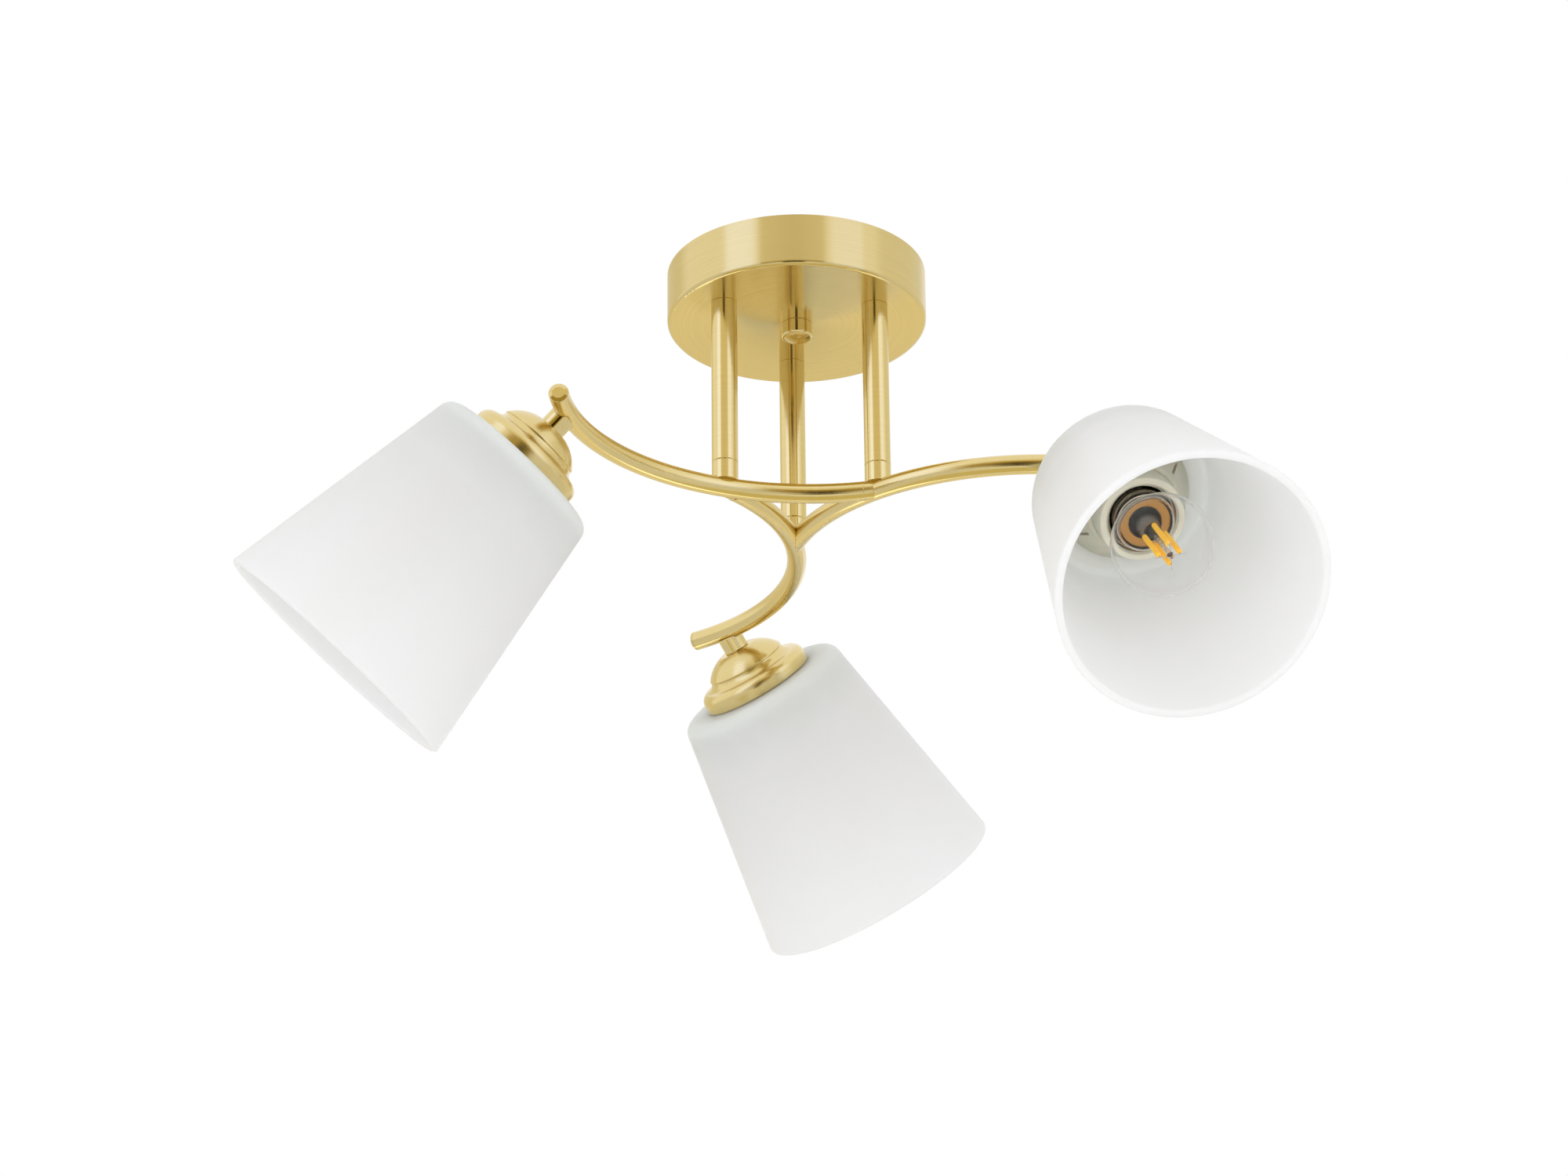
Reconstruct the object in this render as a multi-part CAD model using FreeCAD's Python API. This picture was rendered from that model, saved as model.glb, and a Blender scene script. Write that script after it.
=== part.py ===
import FreeCAD, Part
import math
import os

# Semi flush ceiling light: a shallow round canopy, three straight stems, three curved tube
# arms laid out as a pinwheel, and a tilted opal glass shade with a globe lamp on each arm.
# Frame: origin at the centre of the ceiling plane, +Z up into the ceiling, sizes in mm.

V = FreeCAD.Vector
ZAX = V(0, 0, 1)

SAG = 0.1                # largest gap between an arc and its straight runs, on pieces that repeat

# canopy and what fixes it to the ceiling
CANOPY_R = 60.0          # outer radius of the canopy
CANOPY_H = 25.3          # depth below the ceiling
CANOPY_T = 1.2           # sheet thickness
CANOPY_EDGE = 2.0        # radius of the lower outer edge
STRAP_L = 98.0           # ceiling strap: length, width, sheet, depth of its side flanges
STRAP_W = 22.0
STRAP_T = 1.5
STRAP_FLANGE = 6.0
STRAP_END = 12.0         # flat end of the strap, past its flanges
SLOT_PITCH = 70.0        # centre distance of the two screw slots
SLOT_LEN = 14.0
SLOT_R = 2.25
CABLE_R = 5.0            # hole for the supply cable, beside the stud
CABLE_X = 17.0
STUD_R = 3.0             # centre stud, hex lock nut above, round cap nut below
STUD_END = -30.0
LOCKNUT_AF = 10.0
LOCKNUT_H = 5.0
CAPNUT_R = 7.2
CAPNUT_H = 6.8
EARTH_R = 2.0            # earth screw, as far from the stud as the cable hole
BLOCK_W = 15.0           # terminal block: depth, height and centre
BLOCK_H = 12.0
BLOCK_Y = -33.0
N_POLES = 3
POLE_PITCH = 9.6
POLE_L = 8.4             # each pole's housing, on a thin common strip
POLE_STRIP = 3.0
POLE_BORE = 2.0          # lead hole right through, and how high above the strip's underside
POLE_BORE_Z = 5.5
CLAMP_R = 1.8            # two clamp screws down into each pole
CLAMP_GAP = 0.1
CLAMP_Y = 3.9

# stems and the collars that join them to the arms
N_ARMS = 3
STEM_RING = 40.0         # radius of the circle that the stems stand on
STEM_R = 6.0
STEM_BORE = 3.0
STEM_FOOT = -107.0       # seam between stem and collar
NIPPLE_R = 4.9           # threaded nipples of the stems and of the lamp necks
NIPPLE_H = 8.5
NIPPLE_GAP = 0.1         # radial play of a nipple in its hole
SPIGOT_H = 6.0
SEAM = 0.35              # chamfer that shows as the seam line
STEMNUT_AF = 15.0
STEMNUT_H = 4.0
COLLAR_FOOT = -116.2

# arms: one arc each, through two stem positions and out to a free end
ARM_Z = -119.0
ARM_R = 4.5
ARM_BORE = 3.5
ARM_BEND = 112.0         # radius of the arc
ARM_BUTT = 6.0           # arc length from the stem axis to the butted end
TIP_ANGLE = 172.5        # where the arc ends, seen from its own centre
LAMP_ANGLE = 162.5       # where the lamp neck leaves the arm
COPE_GAP = 0.05          # braze gap of the saddle cuts
PLUG_T = 1.2             # polished end plug
PLUG_IN = 3.0

# lamp head: distances run along the lamp axis from the arm's centre line
LAMP_TILT = 45.0         # below the horizontal
NECK_R = 6.0
NECK_START = 2.6
CUP_TOP = 10.4
CUP_T = 1.0
CUP_R = 27.5             # skirt of the brass cup
SHADE_TOP = 31.0         # closed end of the shade, which is also the cup's rim
SHADE_R1 = 41.2          # cone radius at the closed end, before its edge is rounded
SHADE_R2 = 60.6
SHADE_L = 117.0
SHADE_T = 3.6
SHADE_END_T = 4.0
SHADE_EDGE = 6.0
SHADE_LIP = 1.5
SHADE_HOLE = 20.0
HOLDER_R = 19.3
HOLDER_LEN = 36.0        # rim of the lampholder below the shade's closed end
HOLDER_BORE = 15.5
HOLDER_FLOOR = 11.5
SLEEVE_R = 15.0
SLEEVE_BORE = 13.6
RING_FLANGE = 29.5
RING_TUBE = 21.2
RING_H = 18.0
RING_SLOT_W = 1.5        # slots in the ring's skirt, from and to these depths
RING_SLOT_TOP = 4.5
RING_SLOT_END = 12.0
N_RING_SLOTS = 4

# globe lamp: 45 mm globe on a 27 mm screw cap
GLOBE_R = 22.5
GLOBE_C = 67.0           # centre of the globe below the shade's closed end
GLASS_T = 0.8
GLOBE_NECK = 12.5        # outer radius of the neck, which the cap's rim is crimped on
CAP_R = 13.2
CAP_TOP = 16.5
CAP_END = 40.5
CAP_T = 0.5
CONTACT = 12.5
PRESS_END = 53.3         # end of the glass press that holds the lead wires
FIL_R = 1.05
FIL_RING = 4.6
FIL_FROM = 54.0
FIL_TO = 79.0
N_FIL = 4


def revolve(items, once=False):
    """Solid of revolution about Z from a closed profile of (r, z) points.

    A four-number item (rm, zm, r, z) is an arc through (rm, zm) to (r, z). A piece that is
    there once keeps its arcs, and on the others straight runs follow them.
    """
    edges = []
    at = V(items[0][-2], 0, items[0][-1])
    for it in items[1:] + [items[0][-2:]]:
        end = V(it[-2], 0, it[-1])
        if len(it) == 4:
            arc = Part.Arc(at, V(it[0], 0, it[1]), end).toShape()
            edges += [arc] if once else runs(arc)
        elif at.distanceToPoint(end) > 1e-6:
            edges.append(Part.LineSegment(at, end).toShape())
        at = end
    face = Part.Face(Part.Wire(edges))
    return face.revolve(V(0, 0, 0), ZAX, 360)


def runs(arc):
    """Straight edges that follow an arc within SAG."""
    radius = arc.Curve.Radius
    step = 2 * math.acos(1 - SAG / max(radius, 2 * SAG))
    points = arc.discretize(max(2, int(math.ceil(arc.Length / radius / step))) + 1)
    return [Part.LineSegment(a, b).toShape() for a, b in zip(points, points[1:])]


def rounded(before, corner, after, radius):
    """Start of the arc that rounds a profile's corner, and the arc itself, for revolve."""
    c = V(corner[0], 0, corner[1])
    u = (V(before[0], 0, before[1]) - c).normalize()
    w = (V(after[0], 0, after[1]) - c).normalize()
    half = u.getAngle(w) / 2
    start, stop = c + u * (radius / math.tan(half)), c + w * (radius / math.tan(half))
    mid = c + (u + w).normalize() * (radius / math.sin(half) - radius)
    return [(start.x, start.z), (mid.x, mid.z, stop.x, stop.z)]


def cyl(r, z0, z1, x=0.0, y=0.0):
    return Part.makeCylinder(r, z1 - z0, V(x, y, z0))


def box(lx, ly, z0, z1, x=0.0, y=0.0):
    return Part.makeBox(lx, ly, z1 - z0, V(x - lx / 2, y - ly / 2, z0))


def hexagon(af, z0, z1, hole, x=0.0, y=0.0):
    r = af / math.sqrt(3)
    pts = [V(x + r * math.cos(math.radians(60 * i)), y + r * math.sin(math.radians(60 * i)), z0)
           for i in range(7)]
    body = Part.Face(Part.makePolygon(pts)).extrude(V(0, 0, z1 - z0))
    return body.cut(cyl(hole, z0 - 1, z1 + 1, x, y))


def stem_xy(k):
    a = math.radians(90 + 360.0 / N_ARMS * (k + 1))
    return STEM_RING * math.cos(a), STEM_RING * math.sin(a)


def arc_centre():
    """Centre of arm 1's arc: it lies on -Y, level with neither stem."""
    half = STEM_RING * math.sin(math.pi / N_ARMS)
    return V(0, -STEM_RING * math.cos(math.pi / N_ARMS) - math.sqrt(ARM_BEND ** 2 - half ** 2),
             ARM_Z)


def arc_point(deg, z=ARM_Z):
    c = arc_centre()
    a = math.radians(deg)
    return V(c.x + ARM_BEND * math.cos(a), c.y + ARM_BEND * math.sin(a), z)


def start_angle():
    return 90 - math.degrees(math.asin(STEM_RING * math.sin(math.pi / N_ARMS) / ARM_BEND))


def tube_arc(radius, deg0, deg1):
    """Round bar of the given radius along arm 1's arc."""
    c = arc_centre()
    disc = Part.Face(Part.Wire(Part.makeCircle(radius, V(c.x + ARM_BEND, c.y, ARM_Z),
                                               V(0, 1, 0))))
    bar = disc.revolve(c, ZAX, deg1 - deg0)
    bar.rotate(c, ZAX, deg0)
    return bar


def spin(shape, k):
    """Copy of arm 1's piece for arm k."""
    s = shape.copy()
    s.rotate(V(0, 0, 0), ZAX, 360.0 / N_ARMS * k)
    return s


def to_lamp(shape):
    """Move a piece built along -Z from the origin onto arm 1's lamp axis."""
    s = shape.copy()
    s.rotate(V(0, 0, 0), V(0, 1, 0), -(90 - LAMP_TILT))
    s.rotate(V(0, 0, 0), ZAX, LAMP_ANGLE)
    s.translate(arc_point(LAMP_ANGLE))
    return s


def canopy_shell():
    r, h, t, e = CANOPY_R, CANOPY_H, CANOPY_T, CANOPY_EDGE
    q = e * (1 - math.sqrt(0.5))
    i = e - t
    qi = t + i * (1 - math.sqrt(0.5))
    body = revolve([(0, -h), (r - e, -h), (r - q, -h + q, r, -h + e), (r, 0), (r - t, 0),
                    (r - t, -h + e), (r - qi, -h + qi, r - e, -h + t), (0, -h + t)], once=True)
    for k in range(N_ARMS):
        x, y = stem_xy(k)
        body = body.cut(cyl(NIPPLE_R + NIPPLE_GAP, -h - 1, -h + 4, x, y))
    return body.cut(cyl(STUD_R + 0.3, -h - 1, -h + 4))


def ceiling_strap():
    web = box(STRAP_L, STRAP_W, -STRAP_T, 0)
    for s in (-1, 1):
        web = web.fuse(box(STRAP_L - 2 * STRAP_END, STRAP_T, -STRAP_FLANGE, 0,
                           0, s * (STRAP_W - STRAP_T) / 2))
        x = s * SLOT_PITCH / 2
        run = SLOT_LEN - 2 * SLOT_R
        slot = box(run, 2 * SLOT_R, -4, 1, x)
        for e in (-1, 1):
            slot = slot.fuse(cyl(SLOT_R, -4, 1, x + e * run / 2))
        web = web.cut(slot)
    web = web.cut(cyl(CABLE_R, -4, 1, CABLE_X)).cut(cyl(STUD_R, -4, 1))
    web = web.cut(cyl(EARTH_R + 0.05, -4, 1, -CABLE_X))
    return fillet_ends(web)


def fillet_ends(web):
    web = web.removeSplitter()
    ends = [e for e in web.Edges if abs(abs(e.CenterOfMass.x) - STRAP_L / 2) < 0.01
            and abs(e.CenterOfMass.z + STRAP_T / 2) < 0.01
            and abs(e.Vertexes[0].X - e.Vertexes[-1].X) < 0.01
            and abs(e.Vertexes[0].Y - e.Vertexes[-1].Y) < 0.01]
    return web.makeFillet(5.0, ends)


def centre_stud():
    c = 0.5
    return revolve([(0, STUD_END), (STUD_R - c, STUD_END), (STUD_R, STUD_END + c), (STUD_R, 0),
                    (0, 0)])


def earth_screw():
    top = -STRAP_T
    head = revolve([(0, top - 2.4), (3.2, top - 2.4), (3.8, top - 1.6), (3.8, top),
                    (EARTH_R, top), (EARTH_R, 0), (0, 0)])
    head.translate(V(-CABLE_X, 0, 0))
    return head.cut(box(9, 0.9, top - 3, top - 1.4, -CABLE_X))


def cap_nut():
    z0, z1 = -CANOPY_H - CAPNUT_H, -CANOPY_H
    return revolve([(0, z0 + 0.5), (CAPNUT_R - 1.6, z0 + 0.35), (CAPNUT_R - 0.9, z0),
                    (CAPNUT_R - 0.25, z0 + 0.1, CAPNUT_R, z0 + 0.8), (CAPNUT_R, z1 - 0.3),
                    (CAPNUT_R - 0.3, z1), (STUD_R + 0.05, z1), (STUD_R + 0.05, STUD_END - 0.2),
                    (0, STUD_END - 0.2)], once=True)


def poles():
    """Centre X of each pole of the terminal block."""
    return [(i - (N_POLES - 1) / 2) * POLE_PITCH for i in range(N_POLES)]


def terminal_block():
    y, z0 = BLOCK_Y, -CANOPY_H + CANOPY_T
    body = box((N_POLES - 1) * POLE_PITCH + POLE_L, BLOCK_W, z0, z0 + POLE_STRIP, 0, y)
    for x in poles():
        body = body.fuse(box(POLE_L, BLOCK_W, z0, z0 + BLOCK_H, x, y))
    body = body.removeSplitter()
    for x in poles():
        body = body.cut(Part.makeCylinder(POLE_BORE, BLOCK_W + 2,
                                          V(x, y - BLOCK_W / 2 - 1, z0 + POLE_BORE_Z), V(0, 1, 0)))
        for s in (-1, 1):
            body = body.cut(cyl(CLAMP_R + CLAMP_GAP, z0 + POLE_BORE_Z, z0 + BLOCK_H + 1,
                                x, y + s * CLAMP_Y))
    return body


def terminal_screws():
    z1 = -CANOPY_H + CANOPY_T + BLOCK_H
    out = []
    for x in poles():
        for s in (-1, 1):
            y = BLOCK_Y + s * CLAMP_Y
            screw = cyl(CLAMP_R, z1 - 6.0, z1 - 1.2, x, y)
            out.append(screw.cut(box(3 * CLAMP_R, 0.7, z1 - 1.9, z1, x, y)))
    return Part.makeCompound(out)


def stem(k):
    top, foot = -CANOPY_H, STEM_FOOT
    sock = NIPPLE_R + NIPPLE_GAP
    s = revolve([(sock, foot), (STEM_R - SEAM, foot), (STEM_R, foot + SEAM),
                 (STEM_R, top - 0.15), (STEM_R - 0.15, top), (NIPPLE_R, top),
                 (NIPPLE_R, top + NIPPLE_H), (STEM_BORE, top + NIPPLE_H),
                 (STEM_BORE, foot + SPIGOT_H + 1), (sock, foot + SPIGOT_H + 1)])
    x, y = stem_xy(k)
    s.translate(V(x, y, 0))
    return s


def stem_nuts():
    z0 = -CANOPY_H + CANOPY_T
    return Part.makeCompound([hexagon(STEMNUT_AF, z0, z0 + STEMNUT_H, NIPPLE_R + 0.05, *stem_xy(k))
                              for k in range(N_ARMS)])


def collar(k, bars):
    """Short collar with a spigot up into the stem, saddle cut over the tubes below it."""
    top = STEM_FOOT
    s = revolve([(STEM_BORE, COLLAR_FOOT), (STEM_R, COLLAR_FOOT), (STEM_R, top - SEAM),
                 (STEM_R - SEAM, top), (NIPPLE_R, top), (NIPPLE_R, top + SPIGOT_H),
                 (STEM_BORE, top + SPIGOT_H)])
    x, y = stem_xy(k)
    s.translate(V(x, y, 0))
    for b in bars:
        s = s.cut(b)
    return max(s.Solids, key=lambda q: q.Volume)


def lamp_axis_hole():
    """Wire hole through the arm's wall, along the lamp axis."""
    return to_lamp(cyl(STEM_BORE, -ARM_R - 2, 0))


def arm_tube():
    """Arm 1: bent tube, its butted end saddle cut against the arm that passes in front."""
    d0 = start_angle() + math.degrees(ARM_BUTT / ARM_BEND)
    d1 = TIP_ANGLE - math.degrees(PLUG_T / ARM_BEND)
    tube = tube_arc(ARM_R, d0, d1)
    nxt = spin(tube_arc(ARM_R + COPE_GAP, start_angle() + 15, LAMP_ANGLE - 20), 1)
    tube = tube.cut(nxt)
    tube = max(tube.Solids, key=lambda q: q.Volume)
    tube = tube.cut(tube_arc(ARM_BORE, d0 - 3, d1 + 3))
    tube = max(tube.Solids, key=lambda q: q.Volume)
    return tube.cut(lamp_axis_hole())


def arm_plug():
    """Flat polished plug in the arm's free end."""
    t = PLUG_T
    s = revolve([(0, -PLUG_IN), (ARM_BORE - 0.6, -PLUG_IN), (ARM_BORE - 0.1, -0.6),
                 (ARM_BORE - 0.1, 0), (ARM_R, 0), (ARM_R, t - 0.3), (ARM_R - 0.3, t), (0, t)])
    s.rotate(V(0, 0, 0), V(1, 0, 0), -90)
    a = TIP_ANGLE - math.degrees(PLUG_T / ARM_BEND)
    s.rotate(V(0, 0, 0), ZAX, a)
    s.translate(arc_point(a))
    return s


def neck():
    """Polished neck: saddle cut onto the arm, with the nipple that carries cup and holder."""
    s = revolve([(STEM_BORE, -NECK_START), (STEM_BORE, -CUP_TOP - 16), (NIPPLE_R, -CUP_TOP - 16),
                 (NIPPLE_R, -CUP_TOP), (NECK_R - 0.3, -CUP_TOP), (NECK_R, -CUP_TOP + 0.3),
                 (NECK_R, -NECK_START)])
    s = to_lamp(s).cut(tube_arc(ARM_R + COPE_GAP, LAMP_ANGLE - 8, LAMP_ANGLE + 8))
    return max(s.Solids, key=lambda q: q.Volume)


def cup():
    """Spun brass cup: low dome, step, hollow shoulder and a straight skirt on the glass."""
    z, r, t = -SHADE_TOP, CUP_R, CUP_T
    dome = [(9.0, -CUP_TOP), (14.9, -CUP_TOP - 2.9, 19.3, -CUP_TOP - 7.5)]
    outer = revolve([(0, -CUP_TOP)] + dome +
                    [(19.1, -CUP_TOP - 8.4),
                     (20.9, -CUP_TOP - 10.9, 23.9, z + 8.6),
                     (26.4, z + 7.1, r, z + 4.2), (r, z), (0, z)])
    inner = revolve([(0, -CUP_TOP - t), (9.0, -CUP_TOP - t),
                     (14.5, -CUP_TOP - 3.8, 18.2, -CUP_TOP - 7.9),
                     (18.1, -CUP_TOP - 8.7),
                     (20.0, -CUP_TOP - 11.6, 23.3, z + 7.7),
                     (25.6, z + 6.3, r - t, z + 4.0), (r - t, z - 1), (0, z - 1)])
    return outer.cut(inner).cut(cyl(NIPPLE_R + NIPPLE_GAP, -CUP_TOP - 4, -CUP_TOP + 1))


def holder():
    """Lampholder body: boss on the nipple, wiring chamber, floor and the lamp's bore."""
    top = -CUP_TOP - CUP_T
    g = -SHADE_TOP
    rim = g - HOLDER_LEN
    floor = g - HOLDER_FLOOR
    body = revolve([(NIPPLE_R + 0.05, top), (8.4, top), (8.4, top - 3), (15.5, top - 9.5),
                    (HOLDER_R - 0.6, top - 13), (HOLDER_R, g), (HOLDER_R, rim + 1.2),
                    (HOLDER_R - 0.35, rim + 0.35, HOLDER_R - 1.2, rim),
                    (HOLDER_BORE + 1.0, rim), (HOLDER_BORE, rim + 1.0), (HOLDER_BORE, floor),
                    (3.0, floor), (3.0, floor + 3), (15.0, floor + 3), (15.0, top - 13),
                    (7.5, top - 5), (NIPPLE_R + 0.05, top - 5)])
    return body


def sleeve():
    """Metal screw shell inside the lampholder, its thread left plain."""
    z1 = -SHADE_TOP - HOLDER_FLOOR - 1.0
    z0 = -SHADE_TOP - HOLDER_LEN + 3.0
    return revolve([(SLEEVE_R, z0), (SLEEVE_R, z1), (SLEEVE_BORE, z1),
                    (SLEEVE_BORE, z0 + 1.0), (SLEEVE_BORE + 0.7, z0)])


def contact_tab():
    """Centre contact on the lampholder's floor."""
    z = -SHADE_TOP - HOLDER_FLOOR
    return cyl(4.5, z - 0.8, z).fuse(cyl(2.2, z, z + 3.6)).removeSplitter()


def shade():
    """Opal glass: holed closed end, rounded edge, straight cone, rounded lip at the mouth."""
    g = -SHADE_TOP
    end = g - SHADE_L
    k = (SHADE_R2 - SHADE_R1) / SHADE_L
    dr = SHADE_T * math.sqrt(1 + k * k)
    hole_out, hole_in = (SHADE_HOLE, g), (SHADE_HOLE, g - SHADE_END_T)
    small_out, large_out = (SHADE_R1, g), (SHADE_R2, end)
    small_in = (SHADE_R1 + k * SHADE_END_T - dr, g - SHADE_END_T)
    large_in = (SHADE_R2 - dr, end)
    return revolve([hole_out] + rounded(hole_out, small_out, large_out, SHADE_EDGE) +
                   rounded(small_out, large_out, large_in, SHADE_LIP) +
                   rounded(large_out, large_in, small_in, SHADE_LIP) +
                   rounded(large_in, small_in, hole_in, SHADE_EDGE / 2) + [hole_in])


def shade_ring():
    """Slotted screw ring: tube on the lampholder and a flared skirt under the glass."""
    g = -SHADE_TOP - SHADE_END_T
    b = HOLDER_R + 0.1
    f, w = RING_FLANGE, 1.6
    body = revolve([(b, g), (f, g), (f, g - 1.4), (RING_TUBE + 0.6, g - 13.5),
                    (RING_TUBE, g - 15), (RING_TUBE, g - RING_H + 0.5),
                    (RING_TUBE - 0.5, g - RING_H), (b, g - RING_H), (b, g - 12),
                    (b + 1.4, g - 10.5), (f - w - 1.2, g - 1.8), (b, g - 1.8)])
    for i in range(N_RING_SLOTS):
        cut = box(RING_FLANGE - HOLDER_R - 4, RING_SLOT_W, g - RING_SLOT_END, g - RING_SLOT_TOP,
                  (RING_FLANGE + HOLDER_R) / 2 + 0.6, 0)
        cut.rotate(V(0, 0, 0), ZAX, 360.0 / N_RING_SLOTS * i + 45)
        body = body.cut(cut)
    return body


def globe():
    """Clear globe with its neck, an even shell."""
    c = -SHADE_TOP - GLOBE_C
    n = -SHADE_TOP - CAP_END
    R, t = GLOBE_R, GLASS_T
    a = math.radians(127)
    sr, sz = math.sin(a), -math.cos(a)

    def shell(R, neck):
        pr, pz = R * sr, c + R * sz
        mr = neck + (pr - neck) * 0.36
        mz = n - 1.5 + (pz - n + 1.5) * 0.56
        return [(neck, n + 2.0), (neck, n - 1.5), (mr, mz, pr, pz), (R, c, 0, c - R)]
    o = revolve([(0, n + 2.0)] + shell(R, GLOBE_NECK))
    i = revolve([(0, n + 3.0), (GLOBE_NECK - t, n + 3.0), (GLOBE_NECK - t, n - 1.5)] +
                shell(R - t, GLOBE_NECK - t)[2:])
    return o.cut(i)


def lamp_cap():
    """Screw cap, its rolled thread left plain, with a rim crimped on the glass."""
    z1, z0 = -SHADE_TOP - CAP_TOP, -SHADE_TOP - CAP_END
    root = CAP_R - 0.55
    bore = root - CAP_T
    crest = CAP_R - 0.1
    return revolve([(root - 2.0, z1), (crest, z1 - 1.5), (crest, z0 + 0.4), (CAP_R + 0.1, z0),
                    (GLOBE_NECK, z0), (GLOBE_NECK, z0 + 2.2), (bore, z0 + 2.6),
                    (bore, z1 - 1.9),
                    (bore - 1.7, z1 - 0.6), (bore - 1.7, z1)])


def lamp_base():
    """Dark insulator with the lamp's centre contact."""
    z1 = -SHADE_TOP - CAP_TOP
    tip = -SHADE_TOP - CONTACT
    return revolve([(0, tip), (3.0, tip), (4.2, tip - 0.6), (4.6, tip - 1.0), (10.2, z1 + 0.05),
                    (10.2, z1 - 0.5), (0, z1 - 0.5)])


def lamp_mount():
    """Glass stem: flare sealed in the neck, press, post and the button at its end."""
    g = -SHADE_TOP
    n = g - CAP_END
    return revolve([(0, n - 0.5), (8.5, n + 1.4), (11.55, n + 1.4), (11.55, n + 0.6),
                    (8.8, n + 0.2), (4.6, n - 3.5), (4.0, g - PRESS_END + 2.3),
                    (3.2, g - PRESS_END + 0.5, 1.0, g - PRESS_END), (1.0, g - FIL_TO - 0.4),
                    (1.7, g - FIL_TO - 0.9), (1.5, g - FIL_TO - 2.0), (0, g - FIL_TO - 2.3)])


def polar(i, n, r, z):
    a = 2 * math.pi * (i + 0.5) / n
    return V(r * math.cos(a), r * math.sin(a), z)


def filaments():
    g = -SHADE_TOP
    return Part.makeCompound([Part.makeCylinder(FIL_R, FIL_TO - FIL_FROM,
                                                polar(i, N_FIL, FIL_RING, g - FIL_TO))
                              for i in range(N_FIL)])


def support_wires():
    """Fine wires from the press and from the button to the ends of the light rods."""
    g = -SHADE_TOP
    out = []
    for i in range(N_FIL):
        for r0, z0, z1 in ((3.75, 1.0 - PRESS_END, -FIL_FROM + 0.25),
                           (1.85, -FIL_TO - 1.4, -FIL_TO - 0.25)):
            a, b = polar(i, N_FIL, r0, g + z0), polar(i, N_FIL, FIL_RING, g + z1)
            out.append(Part.makeCylinder(0.22, a.distanceToPoint(b), a, b - a))
    return Part.makeCompound(out)


def save(name, shape):
    shape.exportStep("parts/%s.step" % name)


def main():
    os.makedirs("parts", exist_ok=True)
    save("canopy_shell", canopy_shell())
    save("ceiling_strap", ceiling_strap())
    save("centre_stud", centre_stud())
    save("stud_lock_nut", hexagon(LOCKNUT_AF, -STRAP_T - LOCKNUT_H, -STRAP_T, STUD_R + 0.05))
    save("canopy_cap_nut", cap_nut())
    save("earth_screw", earth_screw())
    save("terminal_block", terminal_block())
    save("terminal_screws", terminal_screws())
    save("stem_nuts", stem_nuts())
    arm = arm_tube()
    bar = tube_arc(ARM_R + COPE_GAP, start_angle() + math.degrees(ARM_BUTT / ARM_BEND) - 0.05,
                   LAMP_ANGLE - 20)
    once = {"arm": arm, "arm_plug": arm_plug(), "lamp_neck": neck()}
    for name, make in (("cup", cup), ("lampholder", holder), ("holder_sleeve", sleeve),
                       ("holder_contact", contact_tab), ("shade", shade),
                       ("shade_ring", shade_ring), ("bulb_globe", globe), ("bulb_cap", lamp_cap),
                       ("bulb_base", lamp_base), ("bulb_mount", lamp_mount),
                       ("bulb_filaments", filaments), ("bulb_wires", support_wires)):
        once[name] = to_lamp(make())
    for k in range(N_ARMS):
        n = k + 1
        save("stem_%d" % n, stem(k))
        save("collar_%d" % n, collar(k, [spin(bar, k), spin(bar, k - 1)]))
        for name, shape in once.items():
            save("%s_%d" % (name, n), spin(shape, k))


main()
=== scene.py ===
"""Looks of a semi flush ceiling light, laid out as a Blender add-on and run as a script.

Every new surface is worked out with numpy as a grid of points in millimetres, in the frame of
the CAD model: origin at the centre of the ceiling plane, +Z up into the ceiling.
"""

import math

import bmesh
import bpy
import numpy as np
from mathutils import Matrix, Vector


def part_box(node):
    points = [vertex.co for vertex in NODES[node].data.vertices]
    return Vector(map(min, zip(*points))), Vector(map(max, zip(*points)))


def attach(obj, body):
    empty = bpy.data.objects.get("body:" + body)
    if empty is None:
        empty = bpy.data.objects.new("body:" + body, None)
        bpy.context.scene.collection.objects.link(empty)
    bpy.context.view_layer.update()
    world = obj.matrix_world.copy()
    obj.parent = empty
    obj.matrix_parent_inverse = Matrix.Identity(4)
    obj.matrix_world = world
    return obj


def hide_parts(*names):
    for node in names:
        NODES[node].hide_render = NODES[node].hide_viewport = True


bl_info = {
    "name": "Semi Flush Ceiling Light",
    "version": (1, 0, 0),
    "blender": (4, 5, 0),
    "location": "View3D > Sidebar > Ceiling Light",
    "description": "Brass canopy, stems and arms with three opal glass shades and globe lamps",
    "category": "Add Mesh",
}

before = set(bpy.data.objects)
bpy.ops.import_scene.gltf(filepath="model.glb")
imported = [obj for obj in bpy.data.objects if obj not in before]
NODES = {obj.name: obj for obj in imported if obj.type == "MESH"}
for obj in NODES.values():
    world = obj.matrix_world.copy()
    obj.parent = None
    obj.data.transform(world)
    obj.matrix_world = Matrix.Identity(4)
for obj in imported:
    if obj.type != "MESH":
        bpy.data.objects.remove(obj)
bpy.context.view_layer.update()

MM = 0.001      # metres in a millimetre
N_ARMS = 3
FIXTURE = "fixture"
SEAT = 0.06     # gap where a tube is cut to the round of another, in mm
PITCH = 3.6     # rise of the lamp's screw thread in a turn, in mm


# ---- sizes and finishes

def length(name, description, millimetres):
    """A length that a user can change, kept in metres as Blender does."""
    return bpy.props.FloatProperty(name=name, description=description, unit="LENGTH",
                                   precision=5, default=millimetres * MM)


def angle(name, description, degrees):
    """An angle that a user can change."""
    return bpy.props.FloatProperty(name=name, description=description, subtype="ANGLE",
                                   default=math.radians(degrees))


def colour(name, description, rgb):
    """A colour that a user can change, in linear light."""
    return bpy.props.FloatVectorProperty(name=name, description=description, subtype="COLOR",
                                         size=3, min=0, max=1, default=rgb)


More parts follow.
